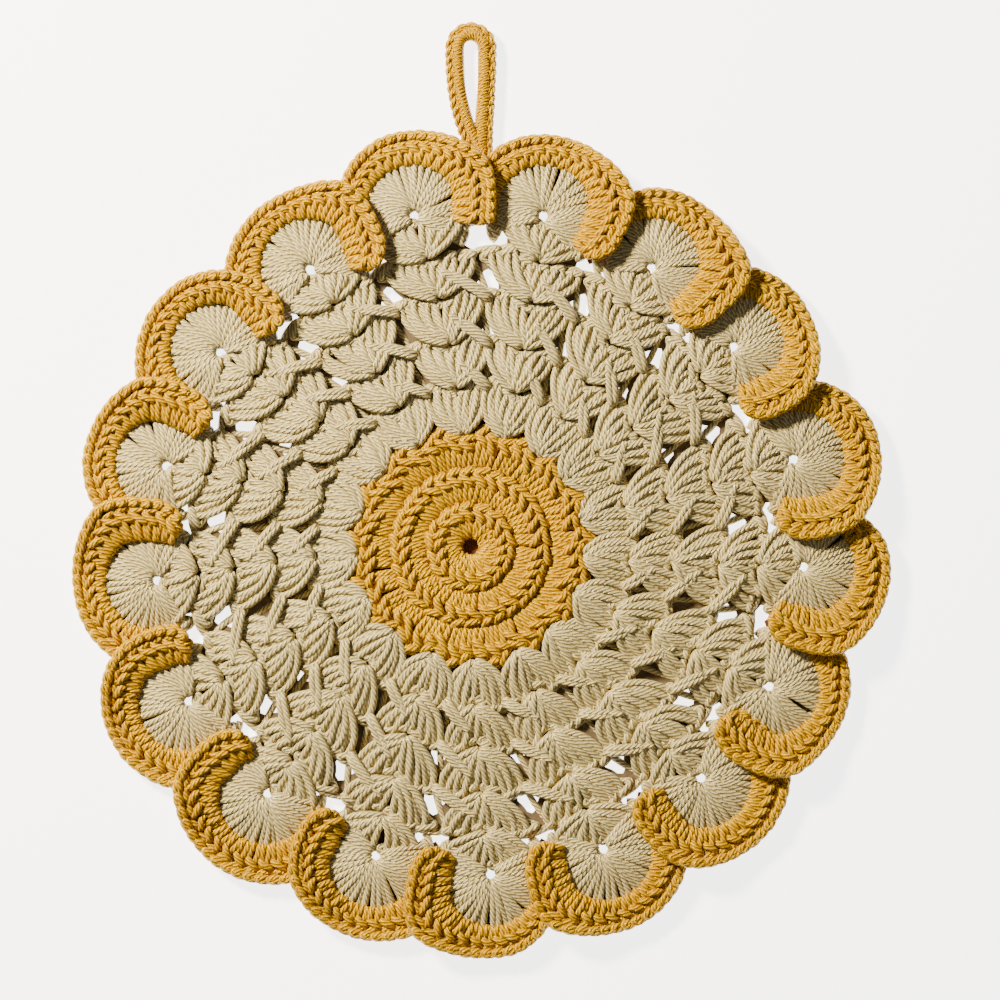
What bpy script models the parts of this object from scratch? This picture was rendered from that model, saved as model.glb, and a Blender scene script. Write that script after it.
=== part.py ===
"""Round crocheted pot holder with a scalloped edge and a hanging loop, lying flat, face up.

Four pieces are crocheted one onto the next, and each is one closed solid here:
  centre_disc     golden rounds of double crochet around a small hole
  cream_body      cream shell rounds that fan out from the disc, ending in a ring of fans
  scallop_edging  golden post stitches and rope edge around the fans, each end lying over the next start
  hanging_loop    golden crocheted cord, closed to a teardrop at the top

The pieces are laid out in millimetres around the disc's centre, with angles in degrees
clockwise from +Y, and stand on z = 0. An empty then puts the middle of the whole outline
at the origin. The stitches themselves are finer than these solids.
"""

import math
from collections import Counter, namedtuple

import bmesh
import bpy
from mathutils import Vector
from mathutils.geometry import delaunay_2d_cdt

MM = 0.001
SEAM_GAP = 0.3

FABRIC = 4.4
EDGE_ROUNDING = 1.2
ROUND_RELIEF = 0.5
OVERLAP_LIFT = 3.2
FAN_TILT = 0.9

CENTRE_HOLE_R = 2.0
DISC_ROUNDS = (11.7, 20.8, 29.5)
STAR_INNER_R = 29.0
STAR_OUTER_R = 32.6

SHELL_ROUNDS = (41.1, 52.0, 63.7)
SMALL_GAP_R = 59.0
SMALL_GAP_SIZE = (3.4, 4.0)
GAP_SIZE = (6.2, 6.6)
TOP_GAP_SIZE = (9.0, 8.6)
GAP_TO_VALLEY = 2.9

FAN_R = 12.9
FAN_SIDE_R = 11.4
FAN_END_DEG = 108.0

LOOP_WIDTH = 14.4
LOOP_TOP_Y = 136.6
LOOP_FOOT = (3.1, 102.0)
LOOP_HOLE = (4.8, 22.0)
LOOP_HOLE_TOP_Y = 131.6
LOOP_THICK = 4.6

# One row for each scallop, clockwise from the loop. eye: the hole that its fan grows from;
# tip: the far edge; notch and foot: the outer and inner end of the valley that follows it.
Scallop = namedtuple("Scallop", "eye_deg eye_r tip_r notch_deg notch_r foot_r")
SCALLOPS = (
    Scallop(12.4, 87.6, 108.7, 24.6, 101.1, 81.1),
    Scallop(33.0, 85.8, 107.1, 45.0, 102.4, 81.1),
    Scallop(52.8, 85.5, 106.9, 64.3, 99.1, 81.1),
    Scallop(74.9, 86.6, 109.2, 85.6, 101.7, 80.3),
    Scallop(93.5, 86.3, 108.9, 105.6, 100.4, 80.3),
    Scallop(115.1, 85.3, 106.3, 125.5, 101.9, 79.6),
    Scallop(135.1, 84.5, 106.9, 145.9, 99.8, 78.8),
    Scallop(156.3, 85.5, 107.1, 168.4, 100.1, 79.6),
    Scallop(176.5, 85.0, 106.6, 188.3, 101.7, 78.8),
    Scallop(197.1, 83.7, 105.6, 208.1, 98.5, 79.0),
    Scallop(219.4, 82.7, 105.8, 230.8, 99.1, 80.1),
    Scallop(241.2, 83.2, 105.8, 252.8, 97.2, 79.6),
    Scallop(263.8, 81.6, 103.5, 275.8, 97.8, 77.5),
    Scallop(284.8, 81.4, 103.2, 296.5, 96.7, 76.2),
    Scallop(307.8, 81.9, 103.2, 318.2, 95.7, 77.7),
    Scallop(329.9, 82.9, 103.7, 340.4, 100.4, 78.8),
    Scallop(350.3, 86.8, 108.9, 362.1, 100.9, 88.4),
)
COUNT = len(SCALLOPS)

GOLD = (0.66, 0.33, 0.055, 1.0)
CREAM = (0.68, 0.60, 0.42, 1.0)
YARN_ROUGHNESS = 0.62


def clear_scene():
    for obj in list(bpy.data.objects):
        bpy.data.objects.remove(obj, do_unlink=True)


def yarn(name, colour):
    """A plied cotton yarn: not metallic, with a faint sheen."""
    material = bpy.data.materials.new(name)
    material.use_nodes = True
    shader = material.node_tree.nodes["Principled BSDF"]
    shader.inputs["Base Color"].default_value = colour
    shader.inputs["Roughness"].default_value = YARN_ROUGHNESS
    shader.inputs["Metallic"].default_value = 0.0
    material.diffuse_color = colour
    return material


def polar(angle, radius):
    """The point at this clockwise angle from +Y and this distance from the disc's centre."""
    turn = math.radians(angle)
    return Vector((radius * math.sin(turn), radius * math.cos(turn)))


def local_polar(scallop, point):
    """A point's clockwise angle from the scallop's own axis, and its distance, seen from its eye."""
    eye = polar(scallop.eye_deg, scallop.eye_r)
    away = point - eye
    out = eye.normalized()
    side = Vector((out.y, -out.x))
    return math.degrees(math.atan2(away.dot(side), away.dot(out))), away.length


def from_local(scallop, angle, distance):
    """The point at this clockwise angle and distance from the scallop's eye."""
    return polar(scallop.eye_deg, scallop.eye_r) + polar(scallop.eye_deg + angle, distance)


def smooth(low, high, value):
    """0 below low, 1 above high, and an S-curve between."""
    share = min(1.0, max(0.0, (value - low) / (high - low)))
    return share * share * (3.0 - 2.0 * share)


def before(index):
    """The scallop ahead of this one, its angles brought down by a turn where the ring closes."""
    scallop = SCALLOPS[index - 1]
    if index:
        return scallop
    return scallop._replace(eye_deg=scallop.eye_deg - 360.0, notch_deg=scallop.notch_deg - 360.0)


def valley_deg(index):
    """The angle halfway between this scallop's eye and the next one's."""
    following = SCALLOPS[(index + 1) % COUNT].eye_deg + (360.0 if index == COUNT - 1 else 0.0)
    return 0.5 * (SCALLOPS[index].eye_deg + following)


def grown(outline, gap):
    """A clockwise outline moved outwards by the gap, each corner along the line that halves it."""
    points = []
    for index, corner in enumerate(outline):
        arriving = (corner - outline[index - 1]).normalized()
        leaving = (outline[(index + 1) % len(outline)] - corner).normalized()
        first, second = Vector((-arriving.y, arriving.x)), Vector((-leaving.y, leaving.x))
        halfway = (first + second).normalized()
        points.append(corner + halfway * (gap / halfway.dot(first)))
    return points


def star_outline():
    """The line where gold meets cream: in at each shell's tip, out between two shells."""
    middle_r = 0.5 * (STAR_INNER_R + STAR_OUTER_R)
    points = []
    for index, scallop in enumerate(SCALLOPS):
        valley = valley_deg(index)
        middle = 0.5 * (scallop.eye_deg + valley)
        points.append(polar(scallop.eye_deg, STAR_INNER_R))
        points.append(polar(middle, middle_r))
        points.append(polar(valley, STAR_OUTER_R))
        points.append(polar(2.0 * valley - middle, middle_r))
    return points


def fan_radius(angle):
    """How far the cream fan reaches from its eye, a little less to the sides than outwards."""
    return FAN_SIDE_R + (FAN_R - FAN_SIDE_R) * max(0.0, math.cos(math.radians(angle))) ** 0.7


def fan_outline():
    """The line around all the fans, dipping to each valley's foot."""
    steps = 9
    points = []
    for index, scallop in enumerate(SCALLOPS):
        for step in range(steps):
            angle = FAN_END_DEG * (2.0 * step / (steps - 1) - 1.0)
            points.append(from_local(scallop, angle, fan_radius(angle)))
        points.append(polar(valley_deg(index), scallop.foot_r))
    return points


def rim_outline():
    """The outer line of the scallops, from notch to notch through each tip."""
    steps = 4
    points = []
    for index, scallop in enumerate(SCALLOPS):
        earlier = before(index)
        start = local_polar(scallop, polar(earlier.notch_deg, earlier.notch_r))
        end = local_polar(scallop, polar(scallop.notch_deg, scallop.notch_r))
        tip = scallop.tip_r - scallop.eye_r
        for step in range(-steps + 1, steps + 1):
            share = abs(step) / steps
            angle, distance = start if step < 0 else end
            points.append(from_local(scallop, angle * share, tip + (distance - tip) * share**2))
    return points


def ellipse(centre, angle, size, sides):
    """A ring of points, size across and along the radius at this angle, flats facing the radius."""
    out = polar(angle, 1.0)
    side = Vector((out.y, -out.x))
    grow = 1.0 / math.cos(math.pi / sides)
    points = []
    for index in range(sides):
        turn = math.tau * (index + 0.5) / sides
        across = 0.5 * size[0] * grow * math.sin(turn)
        along = 0.5 * size[1] * grow * math.cos(turn)
        points.append(centre + side * across + out * along)
    return points


def gap_outlines():
    """The see-through gaps between the columns of shells: a large one at each valley, a small one inside."""
    gaps = []
    for index, scallop in enumerate(SCALLOPS):
        size = TOP_GAP_SIZE if index == COUNT - 1 else GAP_SIZE
        angle = valley_deg(index)
        centre = polar(angle, scallop.foot_r - GAP_TO_VALLEY - 0.5 * size[1])
        gaps.append(ellipse(centre, angle, size, 8))
        gaps.append(ellipse(polar(angle, SMALL_GAP_R), angle, SMALL_GAP_SIZE, 6))
    return gaps


def rings(radii, per_column):
    """Points on circles around the disc's centre, a few to each column of shells."""
    points = []
    for radius in radii:
        for index, scallop in enumerate(SCALLOPS):
            reach = 2.0 * (valley_deg(index) - scallop.eye_deg)
            points += [polar(scallop.eye_deg + reach * part / per_column, radius) for part in range(per_column)]
    return points


def fabric(name, outer, holes, inner_points, height, material):
    """A closed solid between z = 0 and height(x, y), lower along its edges, over outer less the holes."""
    loops = [outer, *holes]
    points, faces = [], []
    for loop in loops:
        first = len(points)
        points += loop
        faces.append(list(range(len(points) - 1, first - 1, -1)))
    points += inner_points
    flat, _, cells, _, _, sources = delaunay_2d_cdt(points, [], faces, 0, 1e-6)
    kept = [cell for cell, source in zip(cells, sources) if source == [0]]
    uses = Counter(frozenset(pair) for cell in kept for pair in zip(cell, cell[1:] + cell[:1]))
    border = {corner for pair, count in uses.items() if count == 1 for corner in pair}

    mesh = bmesh.new()
    low, high = {}, {}
    for corner in sorted({corner for cell in kept for corner in cell}):
        spot = flat[corner]
        top = height(spot) - (EDGE_ROUNDING if corner in border else 0.0)
        low[corner] = mesh.verts.new((spot.x * MM, spot.y * MM, 0.0))
        high[corner] = mesh.verts.new((spot.x * MM, spot.y * MM, top * MM))
    for cell in kept:
        mesh.faces.new([high[corner] for corner in cell])
        mesh.faces.new([low[corner] for corner in reversed(cell)])
        for start, end in zip(cell, cell[1:] + cell[:1]):
            if uses[frozenset((start, end))] == 1:
                mesh.faces.new((low[start], low[end], high[end], high[start]))
    bmesh.ops.triangulate(mesh, faces=mesh.faces)
    bmesh.ops.recalc_face_normals(mesh, faces=mesh.faces)
    return finished(name, mesh, material)


def finished(name, mesh, material):
    """Turns a bmesh into a named object with its material, shaded smooth except at its corners."""
    data = bpy.data.meshes.new(name)
    mesh.to_mesh(data)
    mesh.free()
    data.materials.append(material)
    data.shade_smooth()
    data.set_sharp_from_angle(angle=math.radians(40))
    obj = bpy.data.objects.new(name, data)
    bpy.context.collection.objects.link(obj)
    return obj


def round_relief(radius, ridges):
    """The swell of each round of stitches, highest along its top edge."""
    nearest = min(abs(radius - ridge) for ridge in ridges)
    return ROUND_RELIEF * (1.0 - smooth(0.0, 4.0, nearest))


def disc_height(spot):
    return FABRIC + round_relief(spot.length, DISC_ROUNDS)


def fan_height(spot):
    """The shell rounds' relief, and each fan tilted up towards its clockwise side."""
    top = FABRIC + round_relief(spot.length, SHELL_ROUNDS)
    for scallop in SCALLOPS:
        angle, distance = local_polar(scallop, spot)
        if distance < 1.1 * FAN_R:
            top += FAN_TILT * smooth(-60.0, 80.0, angle)
    return top


def edging_height(spot):
    """The rope edge, with each scallop's clockwise end lifted over the start of the next."""
    lift = 0.0
    for scallop in SCALLOPS:
        angle, distance = local_polar(scallop, spot)
        reach = scallop.tip_r - scallop.eye_r
        if 0.0 < angle < 150.0 and distance < 1.35 * reach:
            inside = 1.0 - smooth(1.17 * reach, 1.3 * reach, distance)
            lift = max(lift, inside * smooth(12.0, 50.0, angle))
    return FABRIC + OVERLAP_LIFT * lift + EDGE_ROUNDING


def edging_rows():
    """Two rows of points inside the edging: the posts' feet and the groove under the rope edge."""
    points = []
    for index, scallop in enumerate(SCALLOPS):
        tip = scallop.tip_r - scallop.eye_r
        for angle in (-46.0, -23.0, 0.0, 23.0, 46.0, 69.0):
            points.append(from_local(scallop, angle, fan_radius(angle) + 0.5 * (tip - FAN_R)))
        points.append(polar(valley_deg(index), 0.5 * (scallop.foot_r + scallop.notch_r) - 2.0))
    return points


def loop_outlines(steps):
    """The loop's outer teardrop and its long hole, as rings of matching points, from the foot round."""
    outer, hole = [], []
    foot = Vector(LOOP_FOOT)
    wide = 0.5 * LOOP_WIDTH
    shoulder = LOOP_TOP_Y - wide
    hole_mid = LOOP_HOLE_TOP_Y - 0.5 * LOOP_HOLE[1]
    for step in range(steps):
        turn = math.tau * (step + 0.5) / steps
        across, along = -math.sin(turn), -math.cos(turn)
        if along > 0.0:
            outer.append(Vector((wide * across, shoulder + wide * along)))
        else:
            drop = -along
            narrow = wide * (1.0 - 0.62 * drop**2.2)
            lean = foot.x * drop**3
            outer.append(Vector((narrow * across + lean, shoulder + (foot.y - shoulder) * drop)))
        narrow = 1.0 - 0.25 * max(0.0, -along)
        hole_x = 0.5 * LOOP_HOLE[0] * narrow * math.copysign(abs(across) ** 0.75, across)
        lean = 0.45 * foot.x * max(0.0, -along) ** 2
        hole.append(Vector((hole_x + lean, hole_mid + 0.5 * LOOP_HOLE[1] * along)))
    return outer, hole


def hanging_loop(material):
    """The cord loop: an eight-sided section swept round between the teardrop and its hole."""
    steps = 40
    section = ((0.0, 0.28), (0.0, 0.72), (0.26, 1.0), (0.74, 1.0), (1.0, 0.72), (1.0, 0.28), (0.74, 0.0), (0.26, 0.0))
    mesh = bmesh.new()
    loops = []
    for outer, inner in zip(*loop_outlines(steps)):
        spots = [(outer.lerp(inner, share), rise) for share, rise in section]
        loops.append([mesh.verts.new((s.x * MM, s.y * MM, rise * LOOP_THICK * MM)) for s, rise in spots])
    for ring, following in zip(loops, loops[1:] + loops[:1]):
        for side in range(len(section)):
            after = (side + 1) % len(section)
            mesh.faces.new((ring[side], ring[after], following[after], following[side]))
    bmesh.ops.triangulate(mesh, faces=mesh.faces)
    bmesh.ops.recalc_face_normals(mesh, faces=mesh.faces)
    return finished("hanging_loop", mesh, material)


def centre_on_origin(pieces):
    """Hangs the pieces from one empty, placed so that their common outline is centred on the origin."""
    corners = [vertex.co for piece in pieces for vertex in piece.data.vertices]
    holder = bpy.data.objects.new("pot_holder", None)
    bpy.context.collection.objects.link(holder)
    for axis in (0, 1):
        values = [corner[axis] for corner in corners]
        holder.location[axis] = -0.5 * (min(values) + max(values))
    for piece in pieces:
        piece.parent = holder


def clear_of_gaps(points):
    """The points that keep a stitch's width away from the middle of every gap."""
    middles = []
    for gap in gap_outlines():
        middles.append((sum(gap, Vector((0.0, 0.0))) / len(gap), 0.5 * (gap[0] - gap[len(gap) // 2]).length))
    return [point for point in points if all((point - middle).length > reach + 0.8 for middle, reach in middles)]


def main():
    clear_scene()
    gold = yarn("gold_yarn", GOLD)
    cream = yarn("cream_yarn", CREAM)
    disc_hole = [polar(360.0 * side / 12, CENTRE_HOLE_R) for side in range(12)]
    disc_rings = rings((DISC_ROUNDS[0],), 1) + rings(DISC_ROUNDS[1:2], 2) + rings((25.2,), 2)
    shell_rings = rings((36.0,), 2) + rings(SHELL_ROUNDS, 3) + rings((46.5, 71.0), 2)
    fan_spots = [from_local(s, angle, 6.5) for s in SCALLOPS for angle in (-90.0, -30.0, 30.0, 90.0, 180.0)]
    pieces = [
        fabric("centre_disc", star_outline(), [disc_hole], disc_rings, disc_height, gold),
        fabric(
            "cream_body",
            fan_outline(),
            [grown(star_outline(), SEAM_GAP), *gap_outlines()],
            clear_of_gaps(shell_rings) + fan_spots,
            fan_height,
            cream,
        ),
        fabric("scallop_edging", rim_outline(), [grown(fan_outline(), SEAM_GAP)], edging_rows(), edging_height, gold),
        hanging_loop(gold),
    ]
    centre_on_origin(pieces)


main()
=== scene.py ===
"""The looks of a round crocheted pot holder: cream lace shells round a golden disc, a scalloped golden
edge and a hanging loop.

Every stitch is worked as yarn. A stitch is a short table of where its yarn passes; the classes below
stand the stitches in rounds, and one Geometry Nodes tree gives all the yarn its thickness and the data
that its plies need. Lengths are millimetres and angles are degrees clockwise from the loop, round the
middle of the disc, until a mesh is made in metres.
"""

import logging
import math
from collections import Counter
from dataclasses import dataclass, field
from enum import Enum
from typing import Any, NamedTuple

import bpy
import numpy as np
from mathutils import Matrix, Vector
from mathutils.geometry import delaunay_2d_cdt


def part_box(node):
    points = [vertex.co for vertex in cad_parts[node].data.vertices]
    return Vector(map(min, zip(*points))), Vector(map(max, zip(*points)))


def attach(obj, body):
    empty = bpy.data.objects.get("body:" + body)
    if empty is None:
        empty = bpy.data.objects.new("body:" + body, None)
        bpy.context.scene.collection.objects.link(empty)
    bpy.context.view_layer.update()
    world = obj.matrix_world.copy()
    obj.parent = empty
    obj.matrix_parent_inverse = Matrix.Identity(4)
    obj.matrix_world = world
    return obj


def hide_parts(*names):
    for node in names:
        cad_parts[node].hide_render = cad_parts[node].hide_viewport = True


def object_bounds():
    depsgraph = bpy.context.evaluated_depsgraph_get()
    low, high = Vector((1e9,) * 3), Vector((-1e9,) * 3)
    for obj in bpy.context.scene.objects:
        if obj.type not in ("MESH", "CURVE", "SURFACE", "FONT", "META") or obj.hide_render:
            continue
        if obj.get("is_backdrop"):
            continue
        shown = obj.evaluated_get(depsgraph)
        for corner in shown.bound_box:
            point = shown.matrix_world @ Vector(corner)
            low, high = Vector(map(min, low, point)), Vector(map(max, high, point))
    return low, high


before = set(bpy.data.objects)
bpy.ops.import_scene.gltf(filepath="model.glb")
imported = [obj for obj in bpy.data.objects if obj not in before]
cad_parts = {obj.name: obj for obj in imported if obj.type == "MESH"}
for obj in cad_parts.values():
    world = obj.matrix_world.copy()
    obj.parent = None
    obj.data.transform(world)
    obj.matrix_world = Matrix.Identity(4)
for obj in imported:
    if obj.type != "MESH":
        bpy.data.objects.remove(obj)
CAD_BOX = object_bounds()

LOG = logging.getLogger("pot_holder")
MM = 0.001  # metres in a millimetre
YARN_R = 0.95  # half the yarn's thickness where nothing pulls it thin
MID_HEIGHT = 2.15  # the height of the middle of the cloth
LOWEST = YARN_R * 1.25  # no stitch takes the middle of its yarn lower than this
SEED = 11


class Draw(Enum):
    """Where each kind of yarn's random numbers start, so that a change to one leaves the others alone."""

    DISC = 0
    SHELLS = 20
    FANS = 60
    EDGE_ROW = 100
    EDGE_ROPE = 140

    def rng(self, number: int) -> np.random.Generator:
        """The random numbers of one length of this yarn."""
        return np.random.default_rng(SEED + self.value + number)


def linear(hex_colour: str) -> tuple[float, float, float, float]:
    """Turn an sRGB hex colour into linear RGBA.

    Args:
        hex_colour: six hex digits, such as "d8a040".

    Returns:
        Linear red, green, blue and an alpha of 1.
    """
    values = [int(hex_colour[start : start + 2], 16) / 255.0 for start in (0, 2, 4)]
    curve = [v / 12.92 if v <= 0.04045 else ((v + 0.055) / 1.055) ** 2.4 for v in values]
    return (curve[0], curve[1], curve[2], 1.0)


def add_node(
    tree: bpy.types.NodeTree, kind: str, inputs: dict[Any, Any] | None = None, **settings: Any
) -> Any:
    """Add a node with its settings and its inputs.

    Args:
        tree: the tree that gets the node.
        kind: Blender's name of the node type.
        inputs: socket name or number to a value, or to an output socket that is linked to it.
        **settings: properties of the node itself.

    Returns:
        The new node.
    """
    node = tree.nodes.new(kind)
    for name, value in settings.items():
        setattr(node, name, value)
    for name, value in (inputs or {}).items():
        if isinstance(value, bpy.types.NodeSocket):
            tree.links.new(value, node.inputs[name])
        else:
            node.inputs[name].default_value = value
    return node


def new_material(name: str) -> tuple[bpy.types.Material, Any]:
    """A new material with its nodes on, and its Principled shader.

    Args:
        name: its name.

    Returns:
        The material and its shader.
    """
    material = bpy.data.materials.new(name)
    material.use_nodes = True
    return material, material.node_tree.nodes["Principled BSDF"]


def new_object(name: str, data: bpy.types.ID) -> bpy.types.Object:
    """An object that holds this data, at the origin of the scene.

    Args:
        name: its name.
        data: a mesh, a curve, a light or a camera.

    Returns:
        The object, linked to the scene.
    """
    thing = bpy.data.objects.new(name, data)
    bpy.context.scene.collection.objects.link(thing)
    return thing


class Slot(Enum):
    """The names of the material slots."""

    GOLD = "golden_yarn"
    CREAM = "cream_yarn"


class Scallop(NamedTuple):
    """One column of the pot holder, from the disc out to its scallop.

    base_deg is where its first shell is worked, eye_deg and eye_r the small hole that its fan grows from,
    tip_r the far edge, and notch_deg, notch_r and foot_r the outer and inner end of the valley after it.
    """

    base_deg: float
    eye_deg: float
    eye_r: float
    tip_r: float
    notch_deg: float
    notch_r: float
    foot_r: float


SCALLOPS = (
    Scallop(16.4, 12.4, 87.6, 108.7, 24.6, 101.1, 81.1),
    Scallop(35.5, 33.0, 85.8, 107.1, 45.0, 102.4, 81.1),
    Scallop(54.0, 52.8, 85.5, 106.9, 64.3, 99.1, 81.1),
    Scallop(75.7, 74.9, 86.6, 109.2, 85.6, 101.7, 80.3),
    Scallop(94.3, 93.5, 86.3, 108.9, 105.6, 100.4, 80.3),
    Scallop(113.3, 115.1, 85.3, 106.3, 125.5, 101.9, 79.6),
    Scallop(136.0, 135.1, 84.5, 106.9, 145.9, 99.8, 78.8),
    Scallop(155.6, 156.3, 85.5, 107.1, 168.4, 100.1, 79.6),
    Scallop(178.4, 176.5, 85.0, 106.6, 188.3, 101.7, 78.8),
    Scallop(199.6, 197.1, 83.7, 105.6, 208.1, 98.5, 79.0),
    Scallop(221.8, 219.4, 82.7, 105.8, 230.8, 99.1, 80.1),
    Scallop(243.5, 241.2, 83.2, 105.8, 252.8, 97.2, 79.6),
    Scallop(265.8, 263.8, 81.6, 103.5, 275.8, 97.8, 77.5),
    Scallop(287.0, 284.8, 81.4, 103.2, 296.5, 96.7, 76.2),
    Scallop(310.2, 307.8, 81.9, 103.2, 318.2, 95.7, 77.7),
    Scallop(332.5, 329.9, 82.9, 103.7, 340.4, 100.4, 78.8),
    Scallop(356.3, 350.3, 86.8, 108.9, 362.1, 100.9, 88.4),
)
COUNT = len(SCALLOPS)
HALVES = {"right": range(COUNT // 2 + 1), "left": range(COUNT // 2 + 1, COUNT)}


def polar(angle: float, radius: float) -> np.ndarray:
    """The flat point at this clockwise angle from the loop and this distance from the middle."""
    turn = math.radians(angle)
    return np.array([radius * math.sin(turn), radius * math.cos(turn)])


def unit(vector: np.ndarray) -> np.ndarray:
    """The vector brought to length 1."""
    return vector / max(float(np.linalg.norm(vector)), 1e-9)


def right_of(direction: np.ndarray) -> np.ndarray:
    """The flat direction a quarter turn clockwise from this one."""
    return np.array([direction[1], -direction[0]])


def smooth(low: float, high: float, value: float) -> float:
    """0 below low, 1 above high, and an S-curve between."""
    share = min(1.0, max(0.0, (value - low) / (high - low)))
    return share * share * (3.0 - 2.0 * share)


def column(index: int) -> Scallop:
    """The column at any index, its angles moved by whole turns where the ring closes.

    Args:
        index: the column, which may be below 0 or past the last.

    Returns:
        The row of the table, with its angles moved.
    """
    turns = index // COUNT
    row = SCALLOPS[index % COUNT]
    move = 360.0 * turns
    return row._replace(
        base_deg=row.base_deg + move, eye_deg=row.eye_deg + move, notch_deg=row.notch_deg + move
    )


def around_eye(scallop: Scallop, angle: float, distance: float) -> np.ndarray:
    """The point at this clockwise angle and distance from a scallop's eye, 0 being straight outwards."""
    return polar(scallop.eye_deg, scallop.eye_r) + polar(scallop.eye_deg + angle, distance)


def seen_from_eye(scallop: Scallop, point: np.ndarray) -> tuple[float, float]:
    """A point's clockwise angle and distance from a scallop's eye, 0 being straight outwards.

    Args:
        scallop: the scallop.
        point: a flat point.

    Returns:
        The angle and the distance.
    """
    away = point - polar(scallop.eye_deg, scallop.eye_r)
    out = polar(scallop.eye_deg, 1.0)
    angle = math.atan2(float(away @ right_of(out)), float(away @ out))
    return math.degrees(angle), float(np.linalg.norm(away))


def waves(x: float, y: float) -> float:
    """The slow unevenness of the whole cloth, in millimetres of height."""
    return 0.22 * math.sin(0.071 * x + 0.8) * math.cos(0.063 * y - 0.4) + 0.12 * math.sin(0.19 * (x + y))


class Pass(NamedTuple):
    """One place that a stitch's yarn passes, in terms of the stitch that it is part of.

    back is how far towards the last stitch's head, side is across the post in half post widths, rise goes
    from the foot at 0 to the head at 1, and depth is the height over the middle of the cloth in yarn radii.
    """

    back: float
    side: float
    rise: float
    depth: float


# A double crochet of the golden yarn, from the last stitch's head, once round its post, to its own head.
DOUBLE_CROCHET = (
    Pass(0.95, 0.0, 0.98, -0.7),
    Pass(0.60, 0.0, 1.04, 0.2),
    Pass(0.10, 0.3, 1.05, 0.8),
    Pass(-0.10, 0.5, 1.0, 1.5),
    Pass(0.25, 0.2, 0.94, 2.0),
    Pass(0.60, -0.1, 0.91, 1.7),
    Pass(0.30, -0.8, 0.76, 2.1),
    Pass(0.0, 0.0, 0.62, 2.5),
    Pass(0.0, 1.3, 0.50, 1.5),
    Pass(0.0, 1.0, 0.34, -0.8),
    Pass(0.0, 0.0, 0.06, -1.0),
    Pass(0.0, -0.9, -0.02, 0.4),
    Pass(0.0, -1.1, 0.32, 1.4),
    Pass(0.0, -1.0, 0.74, 1.2),
    Pass(0.0, -0.5, 0.96, 0.9),
    Pass(0.0, 0.6, 0.97, 0.8),
    Pass(0.0, 1.0, 0.74, 1.1),
    Pass(0.0, 1.0, 0.34, 1.3),
    Pass(0.0, 0.8, 0.0, 0.5),
    Pass(0.0, 0.1, 0.02, -0.9),
    Pass(0.0, 0.0, 0.5, -1.3),
    Pass(0.0, 0.0, 0.94, -1.0),
)

# The cream yarn's longer, straighter stitch, whose front strands lie side by side.
LONG_STITCH = (
    Pass(0.95, 0.0, 0.97, -0.8),
    Pass(0.60, 0.0, 1.02, 0.0),
    Pass(0.10, 0.3, 1.03, 0.7),
    Pass(-0.10, 0.5, 0.99, 1.2),
    Pass(0.25, 0.2, 0.95, 1.3),
    Pass(0.50, -0.1, 0.91, 0.6),
    Pass(0.15, -0.2, 0.80, -0.7),
    Pass(0.0, 0.0, 0.45, -1.2),
    Pass(0.0, -0.3, 0.05, -1.0),
    Pass(0.0, -0.9, -0.02, 0.4),
    Pass(0.0, -1.15, 0.32, 1.3),
    Pass(0.0, -1.0, 0.72, 1.4),
    Pass(0.0, -0.5, 0.95, 1.0),
    Pass(0.0, 0.6, 0.97, 0.8),
    Pass(0.0, 1.1, 0.76, 1.1),
    Pass(0.0, 0.95, 0.34, 1.4),
    Pass(0.0, 0.8, 0.0, 0.6),
    Pass(0.0, 0.3, -0.02, -0.6),
    Pass(0.0, -0.1, 0.25, 0.6),
    Pass(0.0, 0.15, 0.65, 0.8),
    Pass(0.0, 0.1, 0.92, -0.4),
)

# One chain link, whose two upper strands cross like a braid.
CHAIN = (
    Pass(0.95, 0.0, 0.0, -0.6),
    Pass(0.62, 0.85, 0.0, 0.4),
    Pass(0.20, 0.95, 0.0, 0.9),
    Pass(-0.14, 0.15, 0.0, 1.1),
    Pass(0.10, -0.85, 0.0, 0.8),
    Pass(0.60, -0.95, 0.0, 0.5),
    Pass(0.98, -0.2, 0.0, -0.3),
    Pass(0.55, 0.1, 0.0, -1.1),
)


@dataclass
class Post:
    """Where one stitch stands in the cloth.

    Attributes:
        foot: where it is worked into.
        head: its top.
        foot_half: half the distance between its two front strands at the foot.
        head_half: the same at the head.
        bow: how far its middle bends to the right of the line from foot to head.
        foot_lift: how far its foot stands over the middle of the cloth.
        head_lift: the same for its head.
    """

    foot: np.ndarray
    head: np.ndarray
    foot_half: float = 0.8
    head_half: float = 0.85
    bow: float = 0.0
    foot_lift: float = 0.0
    head_lift: float = 0.0


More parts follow.
